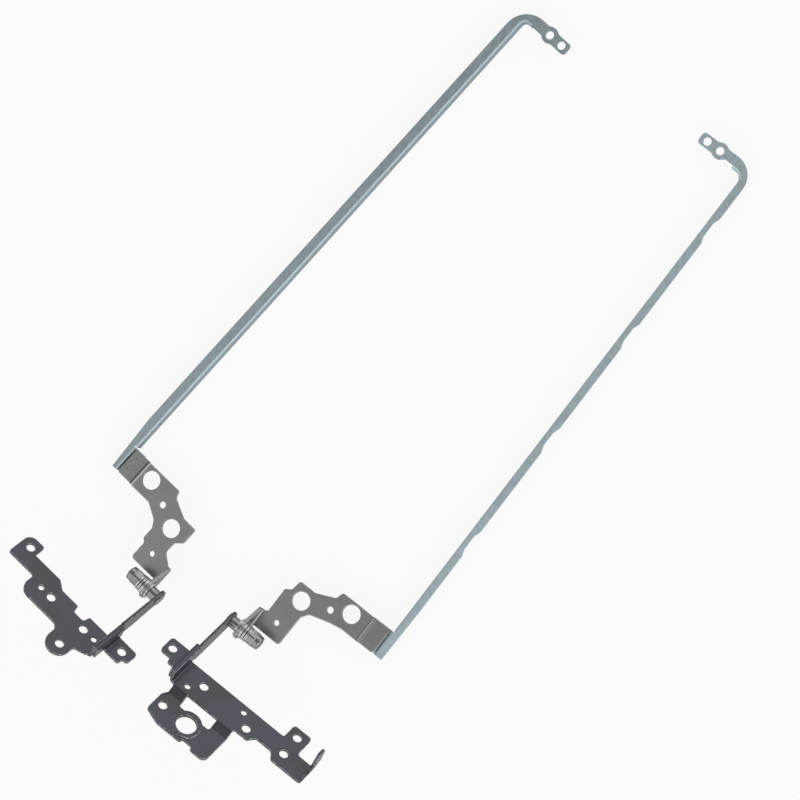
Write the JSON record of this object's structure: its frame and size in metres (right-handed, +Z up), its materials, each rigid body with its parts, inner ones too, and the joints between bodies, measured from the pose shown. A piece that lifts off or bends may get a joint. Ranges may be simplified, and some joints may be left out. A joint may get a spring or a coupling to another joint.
{
  "type": "laptop hinge pair",
  "caption": "Left and right laptop lid hinges: stamped base and lid brackets on a friction pivot, with long side rails for the panel and screw tabs.",
  "frame": {"origin": "under the middle of the pair, on the table", "axes": "+X from the left hinge to the right one along the left pivot, +Y up the left side rail, +Z up from the table"},
  "size_m": [0.1216, 0.264, 0.0374],
  "materials": {
    "base_steel": "dark satin coating",
    "lid_steel": "dull grey plating",
    "rail_steel": "blue-grey zinc",
    "rivet_steel": "dull",
    "spring_steel": "oiled",
    "pivot_steel": "bright nickel"
  },
  "bodies": {
    "lid_side": {"left_lid_bracket": "lid_steel", "left_side_rail": "rail_steel", "left_rail_rivets": "rivet_steel", "right_lid_bracket": "lid_steel", "right_side_rail": "rail_steel", "right_rail_rivets": "rivet_steel"},
    "left_base_side": {"left_base_bracket": "base_steel", "left_pivot_shaft": "pivot_steel", "left_inner_wear_washer": "pivot_steel", "left_outer_wear_washer": "pivot_steel", "left_disc_spring_1": "spring_steel", "left_disc_spring_2": "spring_steel", "left_disc_spring_3": "spring_steel", "left_disc_spring_4": "spring_steel", "left_pressure_washer": "pivot_steel", "left_lock_nut": "pivot_steel"},
    "right_base_side": {"right_base_bracket": "base_steel", "right_pivot_shaft": "pivot_steel", "right_inner_wear_washer": "pivot_steel", "right_outer_wear_washer": "pivot_steel", "right_disc_spring_1": "spring_steel", "right_disc_spring_2": "spring_steel", "right_disc_spring_3": "spring_steel", "right_disc_spring_4": "spring_steel", "right_pressure_washer": "pivot_steel", "right_lock_nut": "pivot_steel"}
  },
  "joints": [
    {"name": "left_hinge", "type": "hinge", "parent": "lid_side", "child": "left_base_side", "pos_m": [-0.02144, -0.09977, 0.0112], "axis": [1, 0, 0], "range_deg": [-138, 7]},
    {"name": "right_hinge", "type": "hinge", "parent": "lid_side", "child": "right_base_side", "pos_m": [0.01034, -0.08773, 0.0112], "axis": [0.9957, 0.0924, 0], "range_deg": [-138, 7]}
  ]
}
